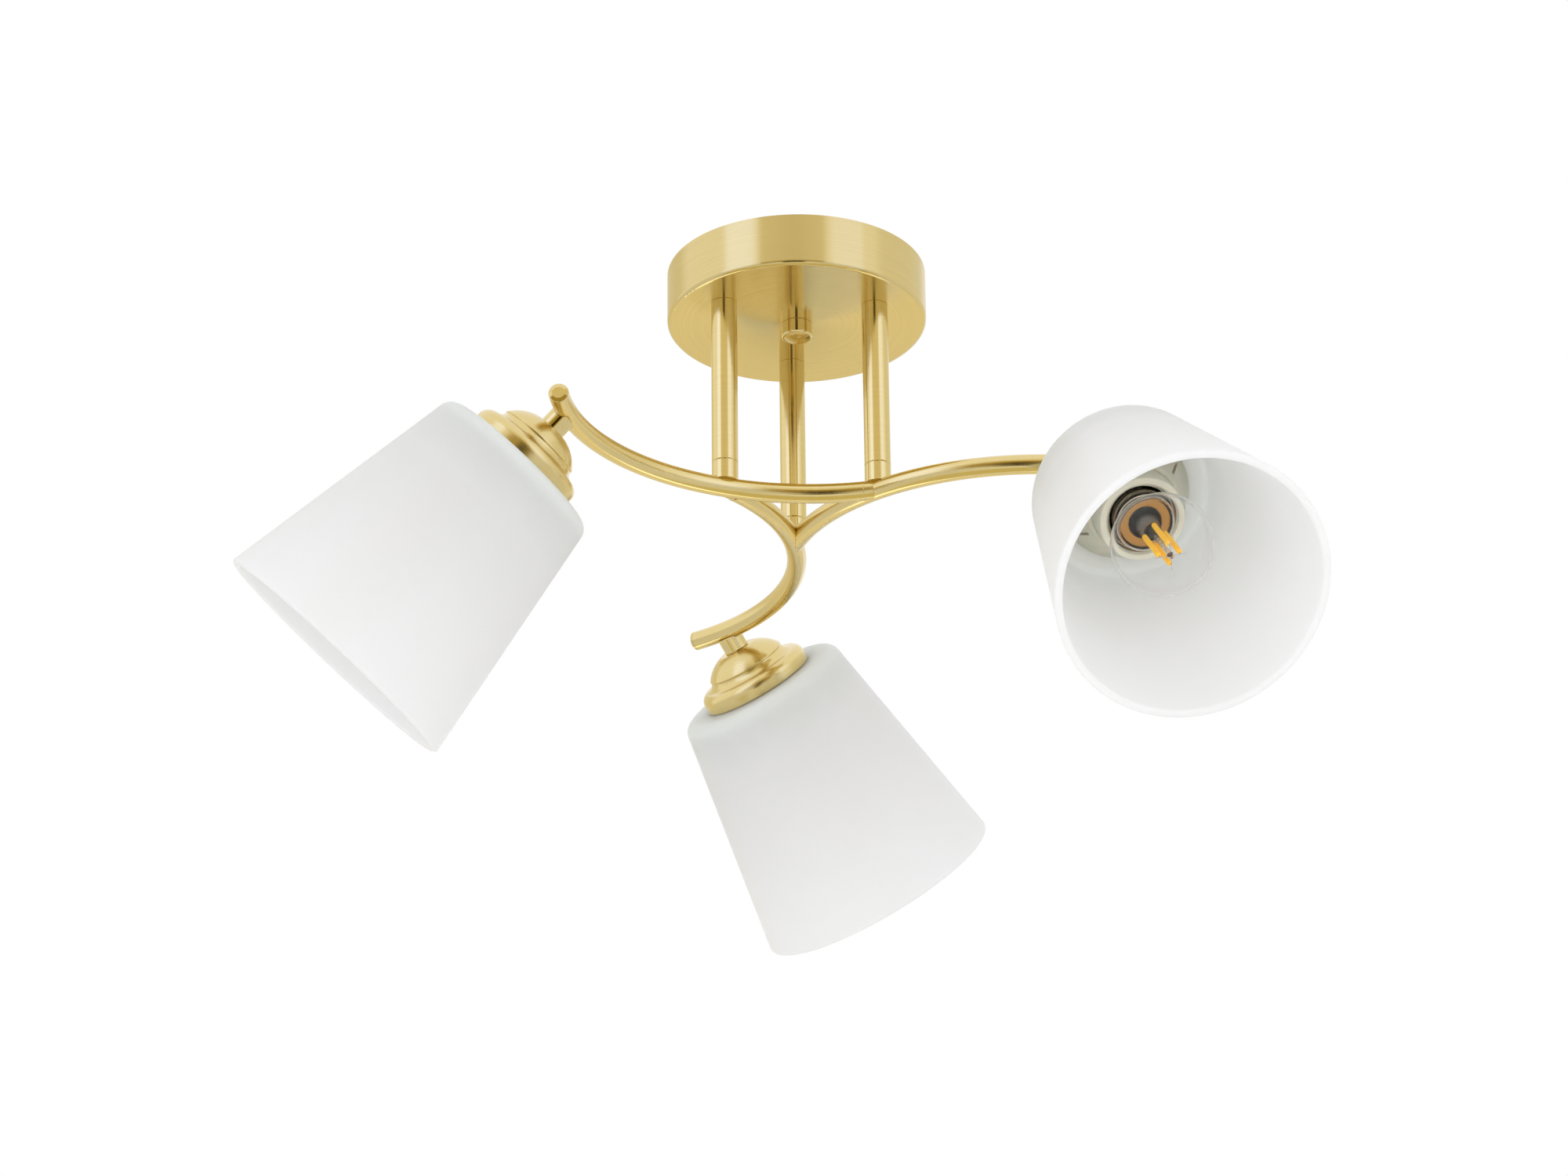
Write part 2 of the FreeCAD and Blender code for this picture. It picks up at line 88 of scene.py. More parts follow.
class LightSizes(bpy.types.PropertyGroup):
    """Sizes of the arms and the lamp heads, whose closed end is the shade's."""
    stem_ring: length("Stem ring", "Radius of the stems' circle", 40)
    arm_level: length("Arm level", "Depth of the arms below the ceiling", 119)
    arm_radius: length("Arm radius", "Outer radius of the arm tube", 4.5)
    arm_bore: length("Arm bore", "Inner radius of the arm tube", 3.5)
    arm_bend: length("Arm bend", "Radius of the arm's arc", 112)
    arm_butt: length("Arm butt", "From the stem's axis to the butted end", 6)
    arm_tip: angle("Arm tip", "End of the arc, seen from its centre", 172.5)
    lamp_place: angle("Lamp place", "Where the neck leaves the arm", 162.5)
    lamp_tilt: angle("Lamp tilt", "Slope of the lamp's axis", 45)
    plug_face: length("Plug face", "Thickness of the plug's disc", 1.2)
    neck_radius: length("Neck radius", "Outer radius of the neck", 6)
    cup_top: length("Cup top", "Top of the cup below the arm", 10.4)
    cup_radius: length("Cup radius", "Radius of the cup's skirt", 27.5)
    shade_top: length("Shade top", "Closed end of the shade below the arm", 31)
    shade_small: length("Shade end", "Cone radius at the closed end", 41.2)
    shade_large: length("Shade mouth", "Cone radius at the mouth", 60.6)
    shade_length: length("Shade length", "Length of the glass", 117)
    shade_wall: length("Shade wall", "Thickness of the glass", 3.6)
    shell_top: length("Shell top", "From closed end to the holder shell's inner end", 12.5)
    shell_end: length("Shell end", "From closed end to the holder shell's mouth", 33)
    cap_top: length("Cap top", "From closed end to the cap's inner end", 16.5)
    cap_end: length("Cap end", "From closed end to the cap's rim", 40.5)
    globe_radius: length("Globe radius", "Radius of the globe", 22.5)
    globe_centre: length("Globe centre", "From closed end to the globe's centre", 67)
    globe_neck: length("Globe neck", "Radius of the globe's neck", 12.5)
    rod_radius: length("Rod radius", "Radius of a light rod", 1.2)
    rod_turn: angle("Rod turn", "Turn of the rods about the lamp's axis", 28)


class Finishes(bpy.types.PropertyGroup):
    """Colours of the materials."""
    brass: colour("Brass", "Lacquered pale brass", (0.79, 0.633, 0.285))
    opal: colour("Opal glass", "Body of the shades", (0.967, 0.981, 0.987))
    # Greener tint of the glass, with painted shade, round the shades' closed end.
    opal_end_tint_and_shade: colour("Opal end", "Shades round their closed end", (0.70, 0.745, 0.70))
    holder: colour("Holder", "Lampholders and rings", (0.92, 0.88, 0.72))
    phosphor: colour("Phosphor", "Light rods", (1.0, 0.53, 0.04))
    amber: colour("Amber", "Cement in the lamp's neck", (0.60, 0.27, 0.02))
    nickel: colour("Nickel", "Shells and caps", (0.66, 0.63, 0.56))
    zinc: colour("Zinc", "Strap, stud and nuts", (0.62, 0.62, 0.60))
    block: colour("Block", "Terminal block", (0.80, 0.80, 0.76))
    backdrop: colour("Backdrop", "Background", (1.0, 1.0, 1.0))


# ---- outlines and surfaces

def mm(metres):
    """A property's length in millimetres."""
    return metres / MM


def arc(a, m, b, steps=10):
    """Points on the circle through a, m and b, from a to b by way of m."""
    a, m, b = (np.array(p, float) for p in (a, m, b))
    d1, d2 = m - a, b - a
    cross = d1[0] * d2[1] - d1[1] * d2[0]
    s1, s2 = d1 @ d1, d2 @ d2
    centre = a + np.array([d2[1] * s1 - d1[1] * s2, d1[0] * s2 - d2[0] * s1]) / (2 * cross)
    start = math.atan2(*(a - centre)[::-1])
    sweep = math.atan2(*(b - centre)[::-1]) - start
    if cross > 0 and sweep < 0:
        sweep += 2 * math.pi
    if cross < 0 and sweep > 0:
        sweep -= 2 * math.pi
    t = start + sweep * np.linspace(0, 1, steps + 1)
    return centre + np.hypot(*(a - centre)) * np.stack([np.cos(t), np.sin(t)], 1)


def outline(corners, closed=True, step=2.0, arc_steps=6):
    """An outline whose corners (r, z, radius) are rounded, cut into short runs.

    A corner with a radius becomes the arc tangent to its two runs: with h half the angle
    between the runs, the arc starts radius/tan(h) from the corner and turns by pi - 2h.
    """
    rows = np.array([tuple(c) + (0.0,) * (3 - len(c)) for c in corners], float)
    spots, radii = rows[:, :2], rows[:, 2]
    parts = []
    for i, (here, radius) in enumerate(zip(spots, radii)):
        if radius <= 0:
            parts.append(here[None])
            continue
        back, ahead = spots[i - 1] - here, spots[(i + 1) % len(spots)] - here
        back, ahead = back / np.hypot(*back), ahead / np.hypot(*ahead)
        half = math.acos(max(-1.0, min(1.0, back @ ahead))) / 2
        middle = (back + ahead) / np.hypot(*(back + ahead))
        centre = here + middle * radius / math.sin(half)
        start = here + back * radius / math.tan(half) - centre
        stop = here + ahead * radius / math.tan(half) - centre
        sweep = math.pi - 2 * half
        t = np.linspace(0, 1, arc_steps + 1)[:, None]
        parts.append(centre + (np.sin((1 - t) * sweep) * start + np.sin(t * sweep) * stop)
                     / math.sin(sweep))
    line = np.vstack(parts + ([parts[0][:1]] if closed else []))
    line = subdivide(line, step)
    return line[:-1] if closed else line


def subdivide(line, step, short=0.6, end=0.12, least=0.02):
    """The same line with its long runs cut to at most step.

    A run over `short` also gets a cut at `end` from each of its ends, which keeps the
    shading crisp, and cuts closer than `least` are dropped.
    """
    run = np.hypot(*np.diff(line, axis=0).T)
    line = line[np.concatenate([[True], run > 1e-6])]
    at = np.concatenate([[0], np.cumsum(run[run > 1e-6])])
    marks = [at]
    for a, b in zip(at[:-1], at[1:]):
        if b - a > short:
            marks.append([a + end, b - end])
        if b - a > step:
            marks.append(np.linspace(a, b, int((b - a) / step) + 2)[1:-1])
    t = np.unique(np.concatenate(marks))
    t = t[np.concatenate([[True], np.diff(t) > least])]
    return np.stack([np.interp(t, at, line[:, 0]), np.interp(t, at, line[:, 1])], 1)


def smooth(t, at, values):
    """Cubic through evenly spaced values, with slopes taken from the neighbours."""
    slope = np.gradient(values, at)
    i = np.clip(np.searchsorted(at, t, side="right") - 1, 0, len(at) - 2)
    h = at[i + 1] - at[i]
    u = (t - at[i]) / h
    return (values[i] * (1 + 2 * u) * (1 - u) ** 2 + values[i + 1] * u * u * (3 - 2 * u)
            + slope[i] * h * u * (1 - u) ** 2 + slope[i + 1] * h * u * u * (u - 1))


def around(count):
    """Angles of evenly spaced points round a full turn."""
    return np.linspace(0, 2 * math.pi, count, endpoint=False)


def spun(r, z, a):
    """Points (r cos a, r sin a, z), for radii, heights and angles that broadcast together."""
    return np.stack(np.broadcast_arrays(r * np.cos(a), r * np.sin(a), z), -1)


def lathe(line, turns):
    """Grid of a surface of revolution: (r cos a, r sin a, z) for each (r, z) and angle a."""
    line = np.array(line, float)
    return spun(line[:, :1], line[:, 1:], around(turns))


def ring_grain(line, turns, spread=6.0):
    """Pattern coordinates that run round a lathe: (spread cos a, spread sin a, run so far)."""
    run = np.concatenate([[0], np.cumsum(np.hypot(*np.diff(line, axis=0).T))])[:, None]
    return spun(spread, run, around(turns))


def thread(radius, depth, z0, z1, turns, start, stop, row=0.22, fade_run=1.2):
    """Grid of a rolled thread: r = radius + depth cos(2 pi z / PITCH - a), faded at its ends."""
    a = around(turns)
    z = np.linspace(z0, z1, int(abs(z1 - z0) / row) + 2)[:, None]
    fade = np.clip(np.minimum(abs(z - start), abs(z - stop)) / fade_run, 0, 1)
    fade = np.where((z - start) * (z - stop) < 0, fade * fade * (3 - 2 * fade), 0)
    return spun(radius + depth * fade * np.cos(2 * math.pi * z / PITCH - a), z, a)


def capped(tube):
    """A tube's grid with both of its ends drawn together to their middle points."""
    ends = tube[[0, -1]].mean(1)[:, None] + 0 * tube[:1]
    return np.concatenate([ends[:1], tube, ends[1:]])


def make_piece(name, points, grain=None, close_rows=False, place=None):
    """Object from a grid of points (rows, turn, 3) in millimetres, or from a list of grids.

    Each grid is closed round the turn, and end to end with close_rows. A row whose points
    all meet is a pole and is merged. The attribute "grain" holds the pattern coordinates,
    or the points if none are given. U runs round the turn and V along the rows.
    """
    grain = points if grain is None else grain
    grids, grains = (v if isinstance(v, list) else [v] for v in (points, grain))
    coords, faces, uvs, marks, base = [], [], [], [], 0
    for grid, mark in zip(grids, grains):
        if place is not None:
            grid = grid @ place[:3, :3].T + place[:3, 3]
        m, n = grid.shape[:2]
        i, j = np.meshgrid(np.arange(m if close_rows else m - 1), np.arange(n), indexing="ij")
        i, j = i.ravel(), j.ravel()
        ni, nj = (i + 1) % m, (j + 1) % n
        quad = np.stack([i * n + j, i * n + nj, ni * n + nj, ni * n + j], 1)
        u = np.stack([j, j + 1, j + 1, j], 1) / n
        v = np.stack([i, i, i + 1, i + 1], 1) / m
        flat = grid.reshape(-1, 3)
        if signed_volume(flat, quad) < 0:
            quad, u, v = quad[:, ::-1], u[:, ::-1], v[:, ::-1]
        coords.append(flat)
        faces.append(quad + base)
        uvs.append(np.stack([u, v], -1).reshape(-1, 2))
        marks.append(mark.reshape(-1, 3))
        base += len(flat)
    mesh = bpy.data.meshes.new(name)
    mesh.from_pydata((np.vstack(coords) * MM).tolist(), [], np.vstack(faces).tolist())
    layer = mesh.uv_layers.new(name="wrap")
    layer.uv.foreach_set("vector", np.vstack(uvs).astype(np.float32).ravel())
    mesh.attributes.new("grain", "FLOAT_VECTOR", "POINT").data.foreach_set(
        "vector", np.vstack(marks).astype(np.float32).ravel())
    merge_poles(mesh)
    mesh.shade_smooth()
    return linked(name, mesh)


def linked(name, data):
    """A new object, put in the scene."""
    obj = bpy.data.objects.new(name, data)
    bpy.context.scene.collection.objects.link(obj)
    return obj


def signed_volume(flat, quads):
    """Volume inside the quads; negative if they face inwards."""
    a, b, c, d = (flat[quads[:, k]] for k in range(4))
    return np.einsum("ij,ij->", a, np.cross(b, c) + np.cross(c, d)) / 6


def merge_poles(mesh):
    """Points closer than a micrometre become one, so poles are closed."""
    work = bmesh.new()
    work.from_mesh(mesh)
    bmesh.ops.remove_doubles(work, verts=work.verts, dist=1e-6)
    work.to_mesh(mesh)
    work.free()


def turned(name, line, turns, closed=True, place=None):
    """A lathe's object, whose grain follows the turning."""
    return make_piece(name, lathe(line, turns), ring_grain(line, turns), closed, place)


# ---- places

def arm_turns():
    """Number of each arm, and its 4x4 turn about Z from arm 1."""
    step = 2 * math.pi / N_ARMS
    return [(k + 1, np.array(Matrix.Rotation(k * step, 4, "Z"))) for k in range(N_ARMS)]


def stem_offsets(s):
    """Half the distance between two stems, and how far their line is from the middle."""
    ring, half_turn = mm(s.stem_ring), math.pi / N_ARMS
    return ring * math.sin(half_turn), ring * math.cos(half_turn)


def arc_centre(s):
    """Centre of arm 1's arc, level with the arms, on -Y."""
    half, back = stem_offsets(s)
    return np.array([0, -back - math.sqrt(mm(s.arm_bend) ** 2 - half ** 2), -mm(s.arm_level)])


def arc_point(s, a):
    """Point of arm 1's centre line at angle a, in radians."""
    return arc_centre(s) + mm(s.arm_bend) * np.array([math.cos(a), math.sin(a), 0])


def lamp_heads(s):
    """Number of each lamp head, and the matrix from its own frame, axis down -Z from the arm."""
    tilt = Matrix.Rotation(-(math.pi / 2 - s.lamp_tilt), 4, "Y")
    turn = Matrix.Rotation(s.lamp_place, 4, "Z")
    first = np.array(Matrix.Translation(arc_point(s, s.lamp_place)) @ turn @ tilt)
    return [(n, arm_turn @ first) for n, arm_turn in arm_turns()]


# ---- materials

class Tree:
    """A node tree, with short ways to add the nodes used here."""

    def __init__(self, tree):
        self.tree = tree

    def add(self, kind, sockets=None, **settings):
        """A node with some of its settings, and a link or constant for some of its sockets."""
        node = self.tree.nodes.new(kind)
        for key, value in settings.items():
            setattr(node, key, value)
        for key, source in (sockets or {}).items():
            self.plug(source, node.inputs[key])
        return node

    def plug(self, source, target):
        """A link, or a constant if source isn't a socket."""
        if isinstance(source, bpy.types.NodeSocket):
            self.tree.links.new(source, target)
        else:
            target.default_value = (*source[:3], 1.0) if target.type == "RGBA" else source

    def maths(self, operation, a, b=0.0):
        """One step of arithmetic."""
        return self.add("ShaderNodeMath", {0: a, 1: b}, operation=operation).outputs[0]

    def away(self, x, y):
        """Distance from the axis, the root of x squared plus y squared."""
        return self.maths("SQRT", self.maths("ADD", self.maths("MULTIPLY", x, x),
                                             self.maths("MULTIPLY", y, y)))

    def place(self):
        """Object coordinates in millimetres."""
        coords = self.add("ShaderNodeTexCoord").outputs["Object"]
        return self.stretch(coords, (1 / MM,) * 3)

    def grain(self):
        """The piece's own pattern coordinates, in millimetres."""
        return self.add("ShaderNodeAttribute", attribute_name="grain").outputs["Vector"]

    def stretch(self, vector, scale):
        """Coordinates times a scale for each axis."""
        return self.add("ShaderNodeMapping", {"Vector": vector, "Scale": scale}).outputs[0]

    def axes(self, vector):
        """The three coordinates of a vector."""
        return self.add("ShaderNodeSeparateXYZ", {0: vector}).outputs

    def join(self, x, y, z):
        """A vector from three coordinates."""
        return self.add("ShaderNodeCombineXYZ", {0: x, 1: y, 2: z}).outputs[0]

    def noise(self, vector, scale=1.0, detail=3.0, rough=0.5):
        """Noise from 0 to 1 at a scale in cells for each millimetre."""
        sockets = {"Vector": vector, "Scale": scale, "Detail": detail, "Roughness": rough}
        return self.add("ShaderNodeTexNoise", sockets).outputs["Fac"]

    def span(self, value, low, high, from_low=0.0, from_high=1.0):
        """value moved from one range to another, held at its ends."""
        sockets = {"Value": value, "From Min": from_low, "From Max": from_high,
                   "To Min": low, "To Max": high}
        return self.add("ShaderNodeMapRange", sockets).outputs["Result"]

    def between(self, noise, low, high):
        """Noise moved to a range that its usual values, 0.3 to 0.7, fill."""
        return self.span(noise, low, high, 0.3, 0.7)

    def blend(self, factor, a, b):
        """Mix of two colours."""
        node = self.add("ShaderNodeMix", {"Factor": factor}, data_type="RGBA")
        for source, target in zip((a, b), [i for i in node.inputs if i.type == "RGBA"]):
            self.plug(source, target)
        return next(o for o in node.outputs if o.type == "RGBA")

    def tone(self, noise, rgb, dark, light):
        """A colour that noise moves between a darker and a lighter shade."""
        return self.blend(self.between(noise, 0, 1), shade_of(rgb, dark), shade_of(rgb, light))


class Finish(Tree):
    """A material with one Principled shader."""

    def __init__(self, name, **sockets):
        self.material = bpy.data.materials.new(name)
        self.material.use_nodes = True
        super().__init__(self.material.node_tree)
        self.shader = self.tree.nodes["Principled BSDF"]
        self.feed(**sockets)

    def feed(self, **sockets):
        """A link or constant for some of the shader's sockets, spelt with underscores."""
        for key, source in sockets.items():
            self.plug(source, self.shader.inputs[key.replace("_", " ")])

    def bump(self, height, millimetres, strength=1.0):
        """Raises the surface by height times a distance."""
        sockets = {"Height": height, "Distance": millimetres * MM, "Strength": strength}
        self.feed(Normal=self.add("ShaderNodeBump", sockets).outputs[0])


def shade_of(rgb, factor):
    """A colour made lighter or darker."""
    return tuple(min(1.0, c * factor) for c in rgb[:3])


def brushed_brass(name, rgb, vector_of, scale, tangent_of, rough, anisotropic=0.8, turn=0.25,
                  lines=0.05, height=0.004, ease_of=None):
    """Pale brass, brushed round its axis and lacquered.

    Three layers of stretched noise, fine scratches, lines and wide bands, change the tone,
    the roughness and a little the height. Gloss spreads across the lines, so a tangent that
    follows them is turned by a quarter. ease_of gives a factor on the roughness.
    """
    f = Finish(name, Metallic=1.0, Anisotropic=anisotropic, Anisotropic_Rotation=turn,
               Coat_Weight=0.1, Coat_Roughness=0.14, Coat_IOR=1.45)
    vector = vector_of(f)
    fine, line, band = (
        f.noise(f.stretch(vector, tuple(c * share for c in scale)), 1.0, detail, grit)
        for share, detail, grit in ((1.0, 2.0, 0.6), (0.3, 3.0, 0.55), (0.06, 2.0, 0.5)))
    mixed = f.maths("ADD", f.maths("MULTIPLY", fine, 0.45), f.maths("MULTIPLY", line, 0.55))
    dulled = f.between(mixed, *rough)
    if ease_of:
        dulled = f.maths("MULTIPLY", dulled, ease_of(f))
    f.feed(Base_Color=f.blend(f.span(band, 0, 0.5, 0.35, 0.65),
                              f.tone(mixed, rgb, 1 - lines, 1.04), shade_of(rgb, 0.95)),
           Roughness=dulled, Tangent=tangent_of(f))
    f.bump(mixed, height, 0.4)
    return f.material


def turned_coordinates(f):
    """Coordinates that run round the canopy: small in x and y, and radius plus height."""
    x, y, z = f.axes(f.place())
    return f.join(x, y, f.maths("ADD", f.away(x, y), z))


def smooth_underside(f):
    """Factor on the canopy's roughness: 0.6 on its flat underside, and 1 up its side."""
    low = mm(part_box("canopy_shell")[0].z)
    return f.span(f.axes(f.place())[2], 0.6, 1.0, low + 0.3, low + 1.8)


def round_axis(f):
    """Tangent round the canopy's axis."""
    return f.add("ShaderNodeTangent", direction_type="RADIAL", axis="Z").outputs[0]


def along_turn(f):
    """Tangent along U, round the turn of a piece made here."""
    return f.add("ShaderNodeTangent", direction_type="UV_MAP", uv_map="wrap").outputs[0]


def upright(f):
    """Tangent straight up, across the lines of the stems."""
    return f.join(0.0, 0.0, 1.0)


def polished_brass(name, rgb):
    """Polished lacquered brass with faint wipe marks."""
    f = Finish(name, Metallic=1.0, Coat_Weight=0.4, Coat_Roughness=0.03, Coat_IOR=1.45)
    vector = f.grain()
    wipe = f.noise(f.stretch(vector, (0.5, 0.5, 2.5)), 1.0, 4.0, 0.6)
    spot = f.noise(vector, 0.35, 2.0)
    f.feed(Base_Color=f.blend(f.span(spot, 0, 1, 0.35, 0.65), shade_of(rgb, 0.95), rgb),
           Roughness=f.between(wipe, 0.05, 0.12))
    f.bump(wipe, 0.004, 0.4)
    return f.material


def opal_glass(name, body, end, wall_top, tint_and_shade_run=30):
    """Satin opal glass: light passes through the wall, and the closed end is greener, with
    painted shade darkening it.
    """
    f = Finish(name, Subsurface_Weight=1.0, Subsurface_Radius=(1.0, 1.0, 0.97),
               Subsurface_Scale=0.025, IOR=1.5, Specular_IOR_Level=0.42)
    vector = f.grain()
    depth = f.maths("SUBTRACT", -wall_top, f.axes(vector)[2])
    etch = f.noise(vector, 2.2, 3.0, 0.6)
    # Painted shade: the base colour darkens to the greener end colour over the first
    # tint_and_shade_run mm below the closed end.
    f.feed(Base_Color=f.blend(f.span(depth, 1, 0, 0, tint_and_shade_run),
                              f.tone(f.noise(vector, 0.035), body, 0.985, 1.0), end),
           Roughness=f.between(etch, 0.38, 0.5))
    f.bump(etch, 0.01, 0.4)
    return f.material


def let_in(f):
    """Lets soft light through a glass to what is behind it."""
    path = f.add("ShaderNodeLightPath").outputs
    passed = f.maths("MAXIMUM", path["Is Shadow Ray"], path["Is Diffuse Ray"])
    f.feed(Alpha=f.maths("SUBTRACT", 1.0, passed))


def clear_glass(name):
    """Thin clear glass with slight waves."""
    f = Finish(name, Base_Color=(1, 1, 1), Roughness=0.0, IOR=1.22, Transmission_Weight=1.0)
    let_in(f)
    f.bump(f.noise(f.grain(), 0.08, 2.0), 0.05, 0.25)
    return f.material


def stem_glass(name):
    """Pressed glass, crumpled where it meets the tube and darkened there with painted shade,
    clear at its edge and post.
    """
    f = Finish(name, Roughness=0.05, IOR=1.3, Transmission_Weight=1.0)
    vector = f.grain()
    x, y, z = f.axes(vector)
    away = f.away(x, y)
    # Painted shade: the ring over the tube and flare is made grey, the edge and post stay clear.
    deep = f.maths("MULTIPLY", f.span(away, 1, 0, 6.0, 7.6), f.span(away, 0, 1, 2.2, 3.0))
    f.feed(Base_Color=f.blend(deep, (0.97, 0.97, 0.95), (0.28, 0.30, 0.30)))
    f.bump(f.noise(vector, 0.9, 3.0, 0.6), 0.4, 0.8)
    let_in(f)
    return f.material


def moulding(name, rgb, vector_of, rough=0.34):
    """Moulded plastic with a faint orange peel and uneven tone."""
    f = Finish(name, Subsurface_Weight=0.25, Subsurface_Scale=0.0015, IOR=1.5)
    vector = vector_of(f)
    peel = f.noise(vector, 1.4, 2.0)
    f.feed(Base_Color=f.tone(f.noise(vector, 0.12), rgb, 0.95, 1.03),
           Roughness=f.between(peel, rough - 0.05, rough + 0.06))
    f.bump(peel, 0.015, 0.35)
    return f.material


def plated(name, rgb, vector_of, rough=0.3, scale=(1.2, 1.2, 1.2)):
    """Plated sheet or turned metal with fine marks and dull spots."""
    f = Finish(name, Metallic=1.0)
    vector = vector_of(f)
    marks = f.noise(f.stretch(vector, scale), 1.0, 4.0, 0.6)
    f.feed(Base_Color=f.tone(f.noise(vector, 0.25), rgb, 0.86, 1.04),
           Roughness=f.between(marks, rough - 0.08, rough + 0.1))
    f.bump(marks, 0.01, 0.5)
    return f.material


def coated(name, rgb, rough=0.55, painted_glow=0.0):
    """Phosphor or cement: matt, grainy, uneven in tone. Phosphor gets a painted glow, a little
    emission though the lamp is off.
    """
    f = Finish(name, Subsurface_Weight=0.3, Subsurface_Scale=0.0006, Emission_Color=rgb,
               Emission_Strength=painted_glow)
    grit = f.noise(f.grain(), 3.0, 3.0, 0.6)
    f.feed(Base_Color=f.tone(grit, rgb, 0.85, 1.1),
           Roughness=f.between(grit, rough - 0.1, rough + 0.15))
    f.bump(grit, 0.03, 0.5)
    return f.material


def finish_box():
    """Every material, by a short name."""
    c = bpy.context.scene.light_finishes
    s = bpy.context.scene.light_sizes
    place, grain = Tree.place, Tree.grain
    return {
        "canopy": brushed_brass(
            "brass, turned canopy", c.brass, turned_coordinates, (0.05, 0.05, 9.0), round_axis,
            (0.20, 0.27), 0.97, lines=0.13, ease_of=smooth_underside),
        "stem": brushed_brass(
            "brass, satin stems", c.brass, place, (0.06, 0.06, 7.0), upright, (0.13, 0.19),
            turn=0.0, height=0.0015),
        "arm": brushed_brass(
            "brass, satin arms", c.brass, grain, (0.03, 0.03, 0.5), along_turn, (0.16, 0.20),
            lines=0.02, height=0.0),
        "cup": brushed_brass(
            "brass, spun cups", c.brass, grain, (0.12, 0.12, 6.0), along_turn, (0.20, 0.27),
            lines=0.08, height=0.002),
        "polished": polished_brass("brass, polished", c.brass),
        # The shades' end colour is a greener tint with painted shade.
        "opal": opal_glass("opal glass", c.opal, c.opal_end_tint_and_shade, mm(s.shade_top)),
        "clear": clear_glass("clear glass"),
        "mount": stem_glass("stem glass"),
        "holder": moulding("cream moulding", c.holder, place),
        "block": moulding("block moulding", c.block, place),
        "dark": moulding("dark insulator", (0.03, 0.03, 0.035), place, 0.25),
        "nickel": plated("nickel shell", c.nickel, grain, 0.26, (0.2, 0.2, 4.0)),
        "zinc": plated("zinc steel", c.zinc, place, 0.34),
        "terminal": plated("terminal brass", (0.75, 0.58, 0.28), place),
        # The rods get a painted glow, light they give though the lamp is off.
        "phosphor": coated("rod phosphor", c.phosphor, painted_glow=0.22),
        "amber": coated("neck cement", c.amber, 0.4),
        "wire": plated("fine wire", (0.52, 0.52, 0.50), grain, 0.28),
    }


FINISH = {}


def dress(obj, finish, body, *nodes):
    """Gives a new piece its finish and its body, and hides the CAD nodes that it stands for."""
    obj.data.materials.append(FINISH[finish])
    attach(obj, body)
    if nodes:
        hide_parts(*nodes)


def paint(node, finish):
    """Gives a CAD node its finish."""
    mesh = NODES[node].data
    mesh.materials.clear()
    mesh.materials.append(FINISH[finish])


# ---- operators

class PieceOperator:
    """What the operators of this add-on share."""
    bl_options = {"REGISTER", "UNDO"}

    def execute(self, context):
        """Makes the pieces once the finishes are there."""
        if not FINISH:
            FINISH.update(finish_box())
        self.make(context.scene.light_sizes)
        return {"FINISHED"}


class LIGHT_OT_ceiling_parts(PieceOperator, bpy.types.Operator):
    """Canopy, stems and collars, and the fittings that the canopy hides"""
    bl_idname = "light.ceiling_parts"
    bl_label = "Canopy and stems"
    single = {"canopy_shell": "canopy", "ceiling_strap": "zinc", "centre_stud": "zinc",
              "stud_lock_nut": "zinc", "earth_screw": "terminal", "stem_nuts": "zinc",
              "terminal_block": "block", "terminal_screws": "terminal"}
    each_arm = {"stem": "stem", "collar": "stem", "lampholder": "holder",
                "shade_ring": "holder", "holder_contact": "terminal", "bulb_base": "dark"}

    def make(self, s):
        """These CAD nodes have the right shape, and only get their finish."""
        for node, finish in self.single.items():
            paint(node, finish)
        for n in range(1, N_ARMS + 1):
            for node, finish in self.each_arm.items():
                paint("%s_%d" % (node, n), finish)


class LIGHT_OT_cap_nut(PieceOperator, bpy.types.Operator):
    """Round polished nut under the canopy"""
    bl_idname = "light.cap_nut"
    bl_label = "Cap nut"
    bore, metal = 3.1, 1.9      # radius of the threaded hole, and thickness left under it

    def make(self, s):
        """A lathe with a chamfered rim, a shallow dish in its end and a blind bore."""
        low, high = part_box("canopy_cap_nut")
        r, z0, z1 = mm((high.x - low.x) / 2), mm(low.z), mm(high.z)
        dish = arc((0, z0 + 0.6), (r - 3.5, z0 + 0.5), (r - 1.5, z0 + 0.12), 8)
        rim = [(r - 1.1, z0, 0.15), (r - 0.55, z0, 0.3), (r, z0 + 0.7, 0.35), (r, z1, 0.25)]
        hole = [(self.bore, z1), (self.bore, z0 + self.metal), (0, z0 + self.metal)]
        line = outline([*dish, *rim, *hole], closed=False, step=1.0)
        dress(turned("cap_nut", line, 96, closed=False), "polished", FIXTURE, "canopy_cap_nut")


